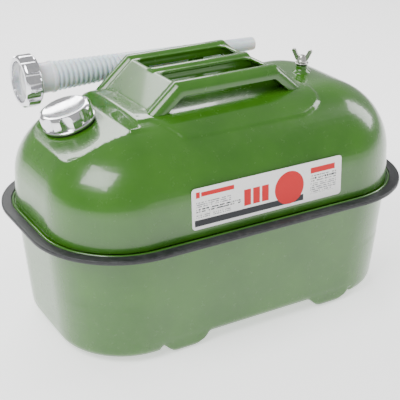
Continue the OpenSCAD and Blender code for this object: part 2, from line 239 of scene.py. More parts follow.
# %% Sizes of the pressings
CORNER = 101
DECK = 250
SHOULDER = 80
WALL = 15.6
SHEET = 1
UPPER_DRAFT = math.radians(2.5)
LOWER_DRAFT = math.radians(4.5)
LEFT_STRETCH = 1.3
wall_top = DECK - SHOULDER
top_inset = WALL + (wall_top - seam) * math.tan(UPPER_DRAFT)
TILT = math.radians(16)
STEP = -112
facet_drop = 10


def facet_height(x):
    """Height of the filler's sloping facet at a place along the length."""
    return DECK - facet_drop + (x - STEP) * math.tan(TILT)


FILLER_X, FILLER_Y = -152, 26
filler_place = Vector((FILLER_X, FILLER_Y, facet_height(FILLER_X))) * MM
filler = Matrix.Translation(filler_place) @ Matrix.Rotation(-TILT, 4, "Y")
WING_TURN = math.radians(-50)
vent = Matrix.Translation(Vector((vent_x, 0, 0)) * MM)
spout = Matrix.Translation(Vector((0, spout_y, spout_z)) * MM) @ Matrix.Rotation(
    math.pi / 2, 4, "Y"
)


# %% [markdown]
# ## The upper pressing
# The real one is drawn in a deep die: steep walls, then one big shoulder of about 80 mm that
# runs into a flat deck. A block with its upright edges rounded and then its top edges rounded
# gives that form. The raised platform under the handle is the same form grown by 2 mm and
# kept inside an outline, and the filler's recess is cut by a sloping block. An even remesh and
# a few smoothing passes then draw every crease round, as the press does.

# %% Rounded block
def rounded(name, inset, low, high, corner, steps=20):
    """A block with rounded upright edges, pulled in from the outline by an inset."""
    obj = block(
        name,
        (-half_length + inset, -half_depth + inset, low),
        (half_length - inset, half_depth - inset, high),
    )
    pick(obj, "EDGE", lambda centre, way: abs(way.z) > 0.9)
    bpy.ops.mesh.bevel(offset=corner * MM, segments=steps, clamp_overlap=False)
    leave()
    return obj


def weld(obj):
    """Merges the doubled corners that a wide bevel leaves, so cuts find a clean solid."""
    take(obj)
    bpy.ops.object.mode_set(mode="EDIT")
    bpy.ops.mesh.select_all(action="SELECT")
    bpy.ops.mesh.remove_doubles(threshold=0.01 * MM)
    bpy.ops.mesh.normals_make_consistent(inside=False)
    leave()


def stretch_left(obj):
    """Draws the left shoulder out longer than it is high, as the die does."""
    middle_x = CORNER - half_length
    middle_y = half_depth - CORNER
    for vertex in obj.data.vertices:
        x, y, z = vertex.co / MM
        if z <= wall_top or x > middle_x + 1:
            continue
        rise = min((z - wall_top) / SHOULDER, 1)
        run = SHOULDER * (1 - math.sqrt(1 - rise * rise))
        extra = run * (LEFT_STRETCH - 1)
        up = max(abs(y) - middle_y, 0)
        turn = math.atan2(up, max(middle_x - x, 0))
        vertex.co.x += extra * (2 - math.cos(turn)) * MM
        vertex.co.y -= math.copysign(extra * (1 - math.sin(turn)), y) * MM


# %% Form of the upper pressing
def upper_form(name, grow=0):
    """The upper pressing's wall, shoulder and deck as a solid, grown by some millimetres."""
    obj = rounded(name, top_inset, wall_top, DECK, CORNER - top_inset)
    weld(obj)
    pick(obj, "EDGE", lambda centre, way: centre.z > DECK - 0.5)
    bpy.ops.mesh.bevel(offset=SHOULDER * MM, segments=20, clamp_overlap=False)
    leave()
    weld(obj)
    stretch_left(obj)
    pick(obj, "FACE", lambda centre, way: way.z < -0.9)
    foot = seam + 1.5
    bpy.ops.mesh.extrude_region_move(
        TRANSFORM_OT_translate={"value": (0, 0, (foot - wall_top) * MM)}
    )
    pull = (wall_top - foot) * math.tan(UPPER_DRAFT)
    bpy.ops.transform.resize(
        value=(
            (half_length - top_inset + pull) / (half_length - top_inset),
            (half_depth - top_inset + pull) / (half_depth - top_inset),
            1,
        ),
        center_override=(0, 0, foot * MM),
    )
    if grow:
        bpy.ops.mesh.select_all(action="SELECT")
        bpy.ops.transform.shrink_fatten(value=grow * MM)
    leave()
    return obj


# %% Platform and recess
PAD = [
    (STEP, -53), (-97, -54), (-76, -86), (-70, -88), (72, -88), (88, -83), (98, -76),
    (103, -65), (104, -50), (104, 73), (94, 83), (STEP, 83),
]
RECESS = [
    (STEP, -60), (-130, -61), (-155, -58), (-174, -54), (-187, -45), (-197, -30),
    (-half_length, -22), (-half_length, half_depth), (STEP, half_depth),
]

platform = upper_form("platform", grow=2)
combine(platform, prism("platform_outline", PAD, wall_top + 5, DECK + 20), "INTERSECT", tidy=True)

slope = [
    (STEP - 5, facet_height(STEP - 5)), (-half_length, facet_height(-half_length)),
    (-half_length, DECK + 40), (STEP + 3, DECK + 40), (STEP + 3, DECK + 3), (STEP, DECK - 2),
]
recess = prism("recess", slope, -half_depth, half_depth, "Y")
combine(recess, prism("recess_outline", [(x + 4 if x == STEP else x, y) for x, y in RECESS],
                      wall_top, DECK + 60), "INTERSECT")

upper = upper_form("upper_pressing")
combine(upper, platform, "UNION", tidy=True)
combine(upper, recess, tidy=True)
bore = turned("bore", [(-20, 0.01), (-20, 22), (30, 22), (30, 0.01)], filler, 64)
combine(upper, bore, tidy=True)
press(upper, 1.5, 6)
pick(upper, "FACE", lambda centre, way: centre.z < seam + 2.6 and way.z < -0.3)
bpy.ops.mesh.delete(type="FACE")
leave()
print("upper pressing:", len(upper.data.polygons), "faces")

# %% Flange with its bead
def flange(name, low, high):
    """The flat rim of a pressing, as a rounded block one sheet thick."""
    return rounded(name, 1.5, low, high, CORNER - 1.5, 28)


upper_rim = flange("upper_rim", seam, seam + SHEET)
pick(upper_rim, "FACE", lambda centre, way: way.z > 0.9)
for inset, depth in ((10.4, 0), (0.5, 1.0), (0.5, 0.45), (0.7, 0), (0.5, -0.45), (0.5, -0.9), (3.4, 0)):
    bpy.ops.mesh.inset(thickness=inset * MM, depth=depth * MM)
bpy.ops.mesh.delete(type="FACE")
leave()
pick(upper_rim, "FACE", lambda centre, way: way.z < -0.9)
bpy.ops.mesh.inset(thickness=16 * MM)
bpy.ops.mesh.delete(type="FACE")
leave()
take(upper_rim)
bpy.ops.object.shade_smooth_by_angle(angle=math.radians(60))


def join(obj, *others):
    """Joins finished meshes into one piece."""
    take(obj)
    for other in others:
        other.select_set(True)
    bpy.ops.object.join()
    return obj


join(upper, upper_rim)
print("upper pressing with rim:", len(upper.data.polygons), "faces")

# %% [markdown]
# ## The lower pressing
# The lower half is a plain deep box with a lean of a few degrees and two ribs pressed down
# across its bottom, which are the feet. The ribs are round bars kept inside the box's own
# outline, and the same remesh blends them into the bottom.

# %% Lower pressing
BOTTOM = 11
BOTTOM_EDGE = 11
RIB_RADIUS = 31.25
RIB_MIDDLES = (-86, 104)
PAN_BOTTOM = 5
PAN_EDGES = (-117, 135)


def lower_form(name, low, top, inset_more=0, edge=BOTTOM_EDGE):
    """The lower pressing's box, narrower at the bottom than at the seam."""
    lean = (top - low) * math.tan(LOWER_DRAFT)
    inset = WALL + (seam - top) * math.tan(LOWER_DRAFT) + inset_more
    obj = rounded(name, inset, low, top, CORNER - inset)
    pick(obj, "FACE", lambda centre, way: way.z < -0.9)
    bpy.ops.transform.resize(
        value=(
            (half_length - inset - lean) / (half_length - inset),
            (half_depth - inset - lean) / (half_depth - inset),
            1,
        ),
        center_override=(0, 0, low * MM),
    )
    leave()
    weld(obj)
    pick(obj, "EDGE", lambda centre, way: centre.z < low + 0.1)
    bpy.ops.mesh.bevel(offset=edge * MM, segments=8, clamp_overlap=False)
    leave()
    weld(obj)
    return obj


lower = lower_form("lower_pressing", BOTTOM, seam - 1.5)
for middle in RIB_MIDDLES:
    rib = turned(
        "rib",
        [(-half_depth, 0.01), (-half_depth, RIB_RADIUS), (half_depth, RIB_RADIUS), (half_depth, 0.01)],
        Matrix.Translation(Vector((middle, 0, RIB_RADIUS - 1.5)) * MM)
        @ Matrix.Rotation(math.pi / 2, 4, "X"),
    )
    combine(rib, lower_form("rib_outline", 0, 70, 0.5, 7), "INTERSECT")
    combine(lower, rib, "UNION")
for edge, side in zip(PAN_EDGES, (-1, 1)):
    pan = lower_form("pan", PAN_BOTTOM, 70, 0.3)
    far = side * half_length
    keep = block("pan_keep", (min(edge, far), -half_depth, 0), (max(edge, far), half_depth, 90))
    combine(pan, keep, "INTERSECT")
    combine(lower, pan, "UNION")
press(lower, 1.9, 5)
pick(lower, "FACE", lambda centre, way: centre.z > seam - 2.8 and way.z > 0.3)
bpy.ops.mesh.delete(type="FACE")
leave()

lower_rim = flange("lower_rim", seam - SHEET, seam)
pick(lower_rim, "FACE", lambda centre, way: abs(way.z) > 0.9)
bpy.ops.mesh.inset(thickness=15.6 * MM)
bpy.ops.mesh.delete(type="FACE")
leave()
join(lower, lower_rim)
print("lower pressing:", len(lower.data.polygons), "faces")

# %% [markdown]
# ## The rubber trim
# A black rubber edging is pushed over the rolled seam. It is a rounded block whose flat faces
# are inset, opened and bridged, so a band is left, and then its outer edges are rounded.

# %% Seam trim
trim = rounded("rubber_trim", 0, trim_low.z, trim_high.z, CORNER, 32)
pick(trim, "FACE", lambda centre, way: abs(way.z) > 0.9)
bpy.ops.mesh.inset(thickness=11.5 * MM)
bpy.ops.mesh.delete(type="FACE")
bpy.ops.mesh.select_mode(type="EDGE")
leave()
pick(trim, "EDGE", lambda centre, way: False)
bpy.ops.mesh.select_non_manifold()
bpy.ops.mesh.bridge_edge_loops()
bpy.ops.mesh.select_all(action="SELECT")
bpy.ops.mesh.normals_make_consistent(inside=False)
leave()
soften(trim, 1.5, 4)
print("trim:", len(trim.data.polygons), "faces")

# %% [markdown]
# ## The handle
# The handle is pressed from one sheet of steel: three round-backed bars with slots between
# them, and a sloping plate at each end that stands on the platform. The outer bars bend down
# over the plates' edges as legs. It is built as a solid, pressed soft, and then its hollow
# underside is cut away.

# %% Bar sections
BAR = 20
BAR_DEPTH = 14
SPACING = 55
half_bar = 62
RISE = 29
RUN = 33
slope_angle = math.atan2(RISE, RUN)
platform_top = handle_top - RISE
LEG = 16


def bar_outline(inward=0):
    """Section of a bar with a round back, its crown at the origin."""
    radius = BAR / 2 - inward
    arc = [
        (radius * math.cos(a), -BAR / 2 + radius * math.sin(a))
        for a in (math.pi * k / 16 for k in range(17))
    ]
    floor = -BAR_DEPTH - (1 if inward else 0)
    return [(radius, floor)] + arc + [(-radius, floor)]


def rail(y, inward=0):
    """A bar with its two sloping legs: its section swept over four stations."""
    lean = math.tan(slope_angle / 2)
    reach = RISE + LEG
    foot = half_bar + reach / math.tan(slope_angle)
    leg_down = (-math.sin(slope_angle), math.cos(slope_angle))
    stations = [
        ((-foot, handle_top - reach), (-leg_down[0], leg_down[1])),
        ((-half_bar, handle_top), (-lean, 1)),
        ((half_bar, handle_top), (lean, 1)),
        ((foot, handle_top - reach), (-leg_down[0], leg_down[1])),
    ]
    stations[0] = (stations[0][0], (leg_down[0], leg_down[1]))
    mesh = bpy.data.meshes.new("rail")
    obj = bpy.data.objects.new("rail", mesh)
    bpy.context.collection.objects.link(obj)
    work = bmesh.new()
    rings = [
        [
            work.verts.new(Vector((x + depth * ux, y + across, z + depth * uz)) * MM)
            for across, depth in bar_outline(inward)
        ]
        for (x, z), (ux, uz) in stations
    ]
    count = len(rings[0])
    for near, far in zip(rings, rings[1:]):
        for i in range(count):
            j = (i + 1) % count
            work.faces.new([near[i], near[j], far[j], far[i]])
    work.faces.new(rings[0])
    work.faces.new(rings[-1])
    bmesh.ops.recalc_face_normals(work, faces=work.faces)
    work.to_mesh(mesh)
    work.free()
    return obj


# %% Plates and slots
def bridge(inward, half_width):
    """A solid under the line of the end plates."""
    top_x = half_bar - inward * math.tan(slope_angle / 2)
    base_x = top_x + (RISE + LEG - inward) / math.tan(slope_angle)
    low = platform_top - LEG
    side = [(-base_x, low), (base_x, low), (top_x, handle_top - inward), (-top_x, handle_top - inward)]
    return prism("bridge", side, handle_y - half_width, handle_y + half_width, "Y")


def slot(y):
    """A slot between two bars, with round corners."""
    obj = block("slot", (-57, y - 17.5, platform_top - 20), (57, y + 17.5, handle_top + 10))
    pick(obj, "EDGE", lambda centre, way: abs(way.z) > 0.9)
    bpy.ops.mesh.bevel(offset=8 * MM, segments=6)
    leave()
    return obj


handle = bridge(3.5, SPACING)
hollow = bridge(6.5, SPACING + 40)
combine(handle, hollow)
combine(handle, slot(handle_y - SPACING / 2))
combine(handle, slot(handle_y + SPACING / 2))
for offset in (-SPACING, SPACING):
    combine(handle, rail(handle_y + offset), "UNION")
middle = placed(
    prism("middle_bar", bar_outline(), -half_bar + 1, half_bar - 1, "X"),
    Matrix.Translation(Vector((0, handle_y, handle_top - 0.5)) * MM),
)
combine(handle, middle, "UNION")
handle.name = "bridge_handle"
combine(handle, upper_form("platform_foot", grow=0.6), tidy=True)
press(handle, 1.0, 5)
for offset in (-SPACING, SPACING):
    combine(handle, rail(handle_y + offset, inward=1.8))
combine(
    handle,
    placed(
        prism("middle_hollow", bar_outline(1.8), -half_bar + 3, half_bar - 3, "X"),
        Matrix.Translation(Vector((0, handle_y, handle_top - 0.5)) * MM),
    ),
)
take(handle)
bpy.ops.object.shade_smooth_by_angle(angle=math.radians(40))
print("handle:", len(handle.data.polygons), "faces")

# %% [markdown]
# ## Filler cap and ring nut
# Both grips are die-cast and chromed, with eight rounded lobes. Each is a lathe piece with
# eight flutes cut from its rim, and a bevel then rounds every edge so it catches the light.

# %% Lobed grips
def fluted(name, stations, place, lobes, flute_radius, flute_depth, reach, flute_low=-50, flute_high=60):
    """A lathe piece with flutes cut from its rim."""
    grip = turned(name, stations, Matrix.Identity(4), 128)
    for k in range(lobes):
        angle = 2 * math.pi * (k + 0.5) / lobes
        away = reach - flute_depth + flute_radius
        spot = Matrix.Translation(
            Vector((away * math.cos(angle), away * math.sin(angle), 0)) * MM
        )
        flute = turned(
            "flute",
            [(flute_low, 0.01), (flute_low, flute_radius), (flute_high, flute_radius), (flute_high, 0.01)],
            spot,
            48,
        )
        combine(grip, flute)
    soften(grip, 0.7, 3, 30)
    return placed(grip, place)


cap = fluted(
    "filler_cap_grip",
    [
        (2.5, 23.9), (2.5, 28.4), (3.4, 28.9), (4.6, 28.9), (5.4, 28.0), (6.2, 28.9), (17.5, 28.9),
        (19.9, 27.6), (21.2, 25.2), (21.5, 23.4), (20.8, 21.6), (19.6, 17), (19.0, 12),
        (18.7, 6), (18.6, 2), (18.6, 0.01),
        (15.1, 0.01), (15.1, 23.9), (2.5, 23.9),
    ],
    filler, 8, 10, 3.6, 29, 6.0, 40,
)
ring_left = node_box("spout_ring")[0].x
ring_nut = fluted(
    "spout_ring_nut",
    [
        (ring_left + 15, 22.6), (ring_left + 3, 22.6), (ring_left + 0.8, 22.8), (ring_left, 23.6),
        (ring_left, 26.6), (ring_left + 1.4, 28.4), (ring_left + 3, 29.4), (ring_left + 16.5, 29.4),
        (ring_left + 18.4, 28), (ring_left + 19, 26), (ring_left + 19, 17.9), (ring_left + 15, 17.9),
        (ring_left + 15, 22.6),
    ],
    spout, 8, 9, 3.2, 29.5, ring_left - 5, ring_left + 16.6,
)
print("cap", len(cap.data.polygons), "ring", len(ring_nut.data.polygons))

# %% [markdown]
# ## Neck, liner, disc and gaskets
# These are simple lathe work, but each has the rolled lips and chamfers that the real
# stampings have, because they show when the cap is lifted.

# %% Lathe pieces round the filler
neck = turned(
    "filler_neck_tube",
    [
        (-6, 19.5), (-6, 22), (1, 22), (4, 21.9), (4.6, 21.2), (6, 21.9), (6.6, 21.2), (8, 21.9),
        (8.6, 21.2), (10, 21.9), (12.2, 21.9), (13, 21.3), (13, 20.2), (12.2, 19.5), (-6, 19.5),
    ],
    filler,
)
soften(neck, 0.2, 2, 30)
gasket = turned(
    "filler_cap_gasket",
    [(0, 22.5), (0, 26.6), (0.5, 27), (2.0, 27), (2.5, 26.5), (2.5, 22.5), (0, 22.5)],
    filler,
)
liner = turned(
    "filler_cap_liner",
    [
        (2.6, 22.2), (2.6, 23.7), (14.9, 23.7), (14.9, 22.2), (12, 22.2), (11.5, 22.5), (11, 22.2),
        (9.5, 22.2), (9, 22.5), (8.5, 22.2), (7, 22.2), (6.5, 22.5), (6, 22.2), (2.6, 22.2),
    ],
    filler,
)
disc = turned(
    "filler_cap_disc",
    [(13.05, 0.01), (13.05, 19), (13.3, 20), (13.3, 22), (13.05, 23), (13.3, 23.7), (15, 23.7), (15, 0.01)],
    filler,
)
for piece in (gasket, liner, disc):
    soften(piece, 0.25, 2, 30)

# %% [markdown]
# ## The air valve
# A turned boss is welded to the deck. A wing bolt with a washer and a seal closes it. The
# wings are flat plates that lean outwards, blended into a cone-shaped hub.

# %% Air valve
boss = turned(
    "air_valve_boss",
    [
        (DECK - 1, 3.1), (DECK - 1, 11.5), (DECK + 0.8, 10.6), (DECK + 2.4, 8.2), (DECK + 4, 7.1),
        (DECK + 7.4, 7), (DECK + 8, 6.5), (DECK + 8, 3.1), (DECK - 1, 3.1),
    ],
    vent,
    64,
)
soften(boss, 0.3, 2, 30)
seal = turned(
    "air_valve_seal",
    [
        (DECK + 8, 3.1), (DECK + 8, 6.0), (DECK + 8.7, 6.3), (DECK + 9.5, 6.0),
        (DECK + 9.5, 3.1), (DECK + 8, 3.1),
    ],
    vent,
    64,
)
washer = turned(
    "air_valve_washer",
    [(DECK + 9.5, 3.1), (DECK + 9.5, 8), (DECK + 11, 8), (DECK + 11, 3.1), (DECK + 9.5, 3.1)],
    vent,
    64,
)
soften(seal, 0.2, 2, 30)
soften(washer, 0.35, 2, 30)

hub = turned(
    "air_valve_wing_bolt",
    [
        (-16, 0.01), (-16, 2.6), (-15.4, 3), (-0.2, 3), (0.1, 5.6), (0.6, 6), (2, 6), (3.2, 5.4),
        (7, 4.4), (8.4, 3.6), (8.8, 2.4), (8.8, 0.01),
    ],
    Matrix.Translation((0, 0, 0)),
    64,
)
for side in (1, -1):
    wing = prism(
        "wing",
        [
            (1.5, 1), (5.2, 1), (7.4, 3.4), (9.0, 7), (10.8, 10.6), (12, 13), (11.8, 14.8),
            (10.4, 15.8), (8.6, 15.6), (7.2, 14.4), (6, 11.4), (4.6, 8.8), (1.5, 7),
        ],
        -1.5,
        1.5,
        "Y",
    )
    placed(wing, Matrix.Rotation(0 if side > 0 else math.pi, 4, "Z"))
    combine(hub, wing, "UNION")
press(hub, 0.35, 6)
bolt = placed(hub, vent @ Matrix.Translation((0, 0, (DECK + 11) * MM)) @ Matrix.Rotation(WING_TURN, 4, "Z"))
print("wing bolt", len(bolt.data.polygons))

# %% [markdown]
# ## The pouring spout
# The spout is blow-moulded from natural polyethylene: a flanged mouth, a bellows that lets it
# bend, and a long tapered nose. All three are lathe pieces along the spout's axis, and the
# bellows repeats one fold thirteen times while its radius follows the taper.

# %% Spout stations
MOUTH = ring_left + 15
base_high = node_box("spout_base")[1].x
nose_low, nose_high = tip_low.x, tip_high.x
MOUTH_RADIUS, NOSE_RADIUS = 17.5, 8


def taper(x):
    """Outer radius of the spout at a place along it."""
    return MOUTH_RADIUS + (NOSE_RADIUS - MOUTH_RADIUS) * (x - MOUTH) / (nose_high - MOUTH)


spout_mouth = turned(
    "spout_mouth",
    [
        (MOUTH - 3, 13), (MOUTH - 3, 22), (MOUTH - 2.6, 22.4), (MOUTH - 0.4, 22.4), (MOUTH, 22),
        (MOUTH, 18.4), (MOUTH + 0.9, taper(MOUTH)), (base_high - 7, taper(base_high - 7)),
        (base_high - 5.4, taper(base_high) + 1.2), (base_high - 2.6, taper(base_high) + 1.2),
        (base_high - 1, taper(base_high)), (base_high, taper(base_high) - 1.3),
        (base_high, taper(base_high) - 2.5), (MOUTH + 8, 13), (MOUTH - 3, 13),
    ],
    spout,
)
soften(spout_mouth, 0.3, 2, 25)

FOLDS = 13
bellows_low, bellows_high = base_high, nose_low
pitch = (bellows_high - bellows_low) / FOLDS
wave = []
for fold in range(FOLDS):
    start = bellows_low + fold * pitch
    for share, crest in (
        (0, 0), (0.1, 0.12), (0.24, 0.75), (0.34, 1),
        (0.56, 1), (0.66, 0.75), (0.8, 0.12), (0.9, 0),
    ):
        wave.append((start + share * pitch, taper(start) - 1.5 + 1.7 * crest))
wave.append((bellows_high, taper(bellows_high) - 1.5))
inner_wave = [(x, radius - 1.1) for x, radius in reversed(wave)]
bellows = turned("spout_bellows_folds", wave + inner_wave + wave[:1], spout, 72)
take(bellows)
bpy.ops.object.shade_smooth()

nose = turned(
    "spout_nose_cone",
    [
        (nose_low, taper(nose_low) - 2.5), (nose_low, taper(nose_low) - 1.2),
        (nose_low + 1.2, taper(nose_low)), (nose_high - 1.2, NOSE_RADIUS + 0.1),
        (nose_high - 0.2, NOSE_RADIUS - 0.2), (nose_high, NOSE_RADIUS - 0.7),
        (nose_high - 0.1, NOSE_RADIUS - 1.4), (nose_high - 1, NOSE_RADIUS - 1.5),
        (nose_low + 6, taper(nose_low) - 2.5), (nose_low, taper(nose_low) - 2.5),
    ],
    spout,
)
soften(nose, 0.3, 2, 25)
spout_washer = turned(
    "spout_mouth_gasket",
    [
        (MOUTH - 5, 14.6), (MOUTH - 5, 21.6), (MOUTH - 4.6, 22), (MOUTH - 3, 22), (MOUTH - 3, 14.6),
        (MOUTH - 5, 14.6),
    ],
    spout,
)
soften(spout_washer, 0.2, 2, 30)
print("bellows", len(bellows.data.polygons))

# %% [markdown]
# ## The spout clips
# Two spring-steel cradles hold the spout. Each is a strip bent round the nose and welded by
# its tail to the rear bar. The strip is a flat band swept round an arc, with a bracket.

# %% Clips
clip_high = node_box("spout_clips")[1]
CLIP_WIDTH, CLIP_SHEET = 12, 1.2
rail_face = handle_y + SPACING + BAR / 2


def clip(x):
    """One cradle with its bracket, centred at a place along the spout."""
    inner = taper(x - CLIP_WIDTH / 2) + 0.15
    outer = inner + CLIP_SHEET
    lift = inner * 0.5
    arc = [math.pi + math.pi * k / 24 for k in range(25)]
    outline = [(-outer - 1.2, lift + 1.6), (-outer, lift * 0.7)]
    outline += [(outer * math.cos(a), outer * math.sin(a)) for a in arc]
    outline += [(outer, lift * 0.7), (outer + 1.2, lift + 1.6)]
    outline += [(inner + 1.2, lift + 1.6), (inner, lift * 0.7)]
    outline += [(inner * math.cos(a), inner * math.sin(a)) for a in reversed(arc)]
    outline += [(-inner, lift * 0.7), (-inner - 1.2, lift + 1.6)]
    half = CLIP_WIDTH / 2
    cradle = prism("cradle", [(spout_y + u, spout_z + v) for u, v in outline], x - half, x + half, "X")
    arm = block(
        "arm", (x - half, rail_face, spout_z - 0.5), (x + half, spout_y - inner - 0.5, spout_z + 0.7)
    )
    tail = block("tail", (x - half, rail_face, spout_z - 0.5), (x + half, rail_face + 1.2, clip_high.z - 0.2))
    combine(cradle, arm, "UNION")
    combine(cradle, tail, "UNION")
    return soften(cradle, 0.25, 2, 40)


clips = clip(-36)
clips.name = "spout_spring_clips"
join(clips, clip(36))

# %% [markdown]
# ## The label
# A printed film is stuck on the front wall. It is a thin plate leaned like the wall. Its print
# is made by the material, from plain blocks and a plain disc only.

# %% Label plate
label_low, label_high = node_box("front_label")
label_mid_z = (label_low.z + label_high.z) / 2
wall_y = -half_depth + WALL + (label_mid_z - seam) * math.tan(UPPER_DRAFT)
label = block(
    "front_label_print",
    (label_low.x, wall_y - 0.25, label_low.z),
    (label_high.x, wall_y + 0.35, label_high.z),
)
pick(label, "EDGE", lambda centre, way: abs(way.y) > 0.9)
bpy.ops.mesh.bevel(offset=4 * MM, segments=6)
leave()
take(label)
lean_place = (
    Matrix.Translation(Vector((0, wall_y, label_mid_z)) * MM)
    @ Matrix.Rotation(-UPPER_DRAFT, 4, "X")
    @ Matrix.Translation(-Vector((0, wall_y, label_mid_z)) * MM)
)
placed(label, lean_place)
print("label", round(label_low.x), round(label_high.x))

# %% [markdown]
# ## Materials
# A shader's maths is easier to read when a socket can be used in sums. The Value class below
# wraps a socket, and Finish makes a material and adds any node by its type, settings and
# inputs.

# %% Shader helpers
class Value:
    """A shader socket that takes part in sums."""

    def __init__(self, tree, socket):
        self.tree = tree
        self.socket = socket

    def math(self, operation, *terms):
        node = self.tree.nodes.new("ShaderNodeMath")
        node.operation = operation
        for slot_socket, term in zip(node.inputs, terms):
            if isinstance(term, Value):
                self.tree.links.new(term.socket, slot_socket)
            else:
                slot_socket.default_value = term
        return Value(self.tree, node.outputs[0])

    def __add__(self, other):
        return self.math("ADD", self, other)

    def __radd__(self, other):
        return self.math("ADD", other, self)

    def __sub__(self, other):
        return self.math("SUBTRACT", self, other)

    def __rsub__(self, other):
        return self.math("SUBTRACT", other, self)

    def __mul__(self, other):
        return self.math("MULTIPLY", self, other)

    def __rmul__(self, other):
        return self.math("MULTIPLY", other, self)

    def __truediv__(self, other):
        return self.math("DIVIDE", self, other)

    def __gt__(self, other):
        return self.math("GREATER_THAN", self, other)

    def __lt__(self, other):
        return self.math("LESS_THAN", self, other)

    def size(self):
        return self.math("ABSOLUTE", self)

    def power(self, other):
        return self.math("POWER", self, other)

    def wave(self):
        return self.math("SINE", self)


class Finish:
    """A material with its Principled shader and a short way to add nodes."""

    def __init__(self, name, **uniform):
        self.material = bpy.data.materials.new(name)
        self.material.use_nodes = True
        self.tree = self.material.node_tree
        self.shader = self.tree.nodes["Principled BSDF"]
        for key, value in uniform.items():
            self.shader.inputs[key.replace("_", " ")].default_value = value

    def node(self, kind, settings=None, inputs=None, output=0):
        node = self.tree.nodes.new(kind)
        for key, value in (settings or {}).items():
            setattr(node, key, value)
        for key, value in (inputs or {}).items():
            if isinstance(value, Value):
                self.tree.links.new(value.socket, node.inputs[key])
            else:
                node.inputs[key].default_value = value
        return Value(self.tree, node.outputs[output])

    def place(self):
        """The place on the object, in millimetres, as three values."""
        spot = self.node("ShaderNodeTexCoord", output=3)
        split = self.tree.nodes.new("ShaderNodeSeparateXYZ")
        self.tree.links.new(spot.socket, split.inputs[0])
        return [Value(self.tree, split.outputs[i]) * 1000 for i in range(3)]

    def noise(self, size, detail=3, roughness=0.55, stretch=(1, 1, 1)):
        """Noise whose features are about so many millimetres wide."""
        spot = self.node("ShaderNodeTexCoord", output=3)
        scaled = self.node(
            "ShaderNodeMapping", inputs={"Vector": spot, "Scale": tuple(stretch)}
        )
        return self.node(
            "ShaderNodeTexNoise",
            inputs={"Vector": scaled, "Scale": 1000 / size, "Detail": detail, "Roughness": roughness},
        )

    def range(self, value, low, high, to_low=0, to_high=1):
        return self.node(
            "ShaderNodeMapRange",
            inputs={0: value, 1: low, 2: high, 3: to_low, 4: to_high},
        )

    def mix(self, factor, first, second):
        return self.node(
            "ShaderNodeMix", {"data_type": "RGBA"}, {0: factor, 6: first, 7: second}, output=2
        )

    def feed(self, **sockets):
        for key, value in sockets.items():
            self.tree.links.new(value.socket, self.shader.inputs[key.replace("_", " ")])

    def bump(self, height, distance, strength=1.0):
        """Bump whose height of 1 stands so many millimetres proud."""
        relief = self.node(
            "ShaderNodeBump",
            inputs={"Height": height, "Distance": distance * MM, "Strength": strength},
        )
        self.feed(Normal=relief)


def tone(red, green, blue):
    """A linear colour from the eight-bit values one sees."""

    def linear(value):
        return ((value / 255 + 0.055) / 1.055) ** 2.4 if value > 10 else value / 3294

    return (linear(red), linear(green), linear(blue), 1)


# %% Green paint
def green_paint():
    finish = Finish("green_enamel", IOR=1.5, Coat_Weight=0.45, Coat_Roughness=0.05)
    cloud = finish.noise(60, 2)
    fine = finish.noise(2.2, 2)
    dust = finish.noise(9, 4, 0.7)
    x, y, z = finish.place()
    # Painted floor reflection: this weight is 1 at the floor and 0 at 120 mm up.
    low = finish.range(z, 0, 120, 1, 0)
    colour = finish.mix(finish.range(cloud, 0.35, 0.65), tone(44, 92, 10), tone(52, 102, 16))
    # Pale grey-green specks of dust, mixed in more strongly towards the bottom as a painted reflection of the
    # floor.
    dust_and_floor_reflection = finish.range(dust, 0.45, 0.75, 0, 0.04) * (low + 0.35)
    colour = finish.mix(dust_and_floor_reflection, colour, tone(150, 155, 130))
    finish.feed(Base_Color=colour)
    finish.feed(Roughness=finish.range(dust, 0.3, 0.8, 0.22, 0.3))
    orange_peel = finish.noise(3.2, 1) * 0.8 + fine * 0.2
    finish.bump(orange_peel, 0.05, 0.35)
    return finish.material


# %% Rubber, metals and plastic
def black_rubber():
    finish = Finish("black_rubber", IOR=1.5, Specular_IOR_Level=0.4)
    dust = finish.noise(5, 4, 0.7)
    finish.feed(Base_Color=finish.mix(finish.range(dust, 0.45, 0.75), tone(30, 31, 33), tone(58, 60, 60)))
    finish.feed(Roughness=finish.range(dust, 0.3, 0.7, 0.38, 0.6))
    finish.bump(finish.noise(1.2, 2), 0.06, 0.5)
    return finish.material


def metal(name, colour, darker, low, high, grain, peel=0.02):
    """A plated metal with cloudy roughness and a fine relief."""
    finish = Finish(name, Metallic=1.0)
    cloud = finish.noise(7, 4, 0.6)
    finish.feed(Base_Color=finish.mix(finish.range(cloud, 0.35, 0.7), colour, darker))
    finish.feed(Roughness=finish.range(cloud, 0.3, 0.7, low, high))
    finish.bump(finish.noise(grain, 2), peel, 0.5)
    return finish.material


def white_plastic():
    finish = Finish(
        "natural_polyethylene",
        IOR=1.51,
        Subsurface_Weight=0.35,
        Subsurface_Scale=0.012,
        Transmission_Weight=0.12,
    )
    cloud = finish.noise(14, 3)
    shades = tone(226, 230, 236), tone(240, 242, 245)
    finish.feed(Base_Color=finish.mix(finish.range(cloud, 0.35, 0.65), *shades))
    finish.feed(Roughness=finish.range(cloud, 0.3, 0.7, 0.28, 0.42))
    finish.bump(finish.noise(2.5, 2), 0.05, 0.4)
    return finish.material


def seal_rubber():
    finish = Finish("pale_seal", IOR=1.5)
    cloud = finish.noise(3, 3)
    shades = tone(205, 206, 204), tone(225, 226, 224)
    finish.feed(Base_Color=finish.mix(finish.range(cloud, 0.3, 0.7), *shades))
    finish.feed(Roughness=finish.range(cloud, 0.3, 0.7, 0.5, 0.7))
    finish.bump(finish.noise(1.0, 2), 0.03, 0.5)
    return finish.material


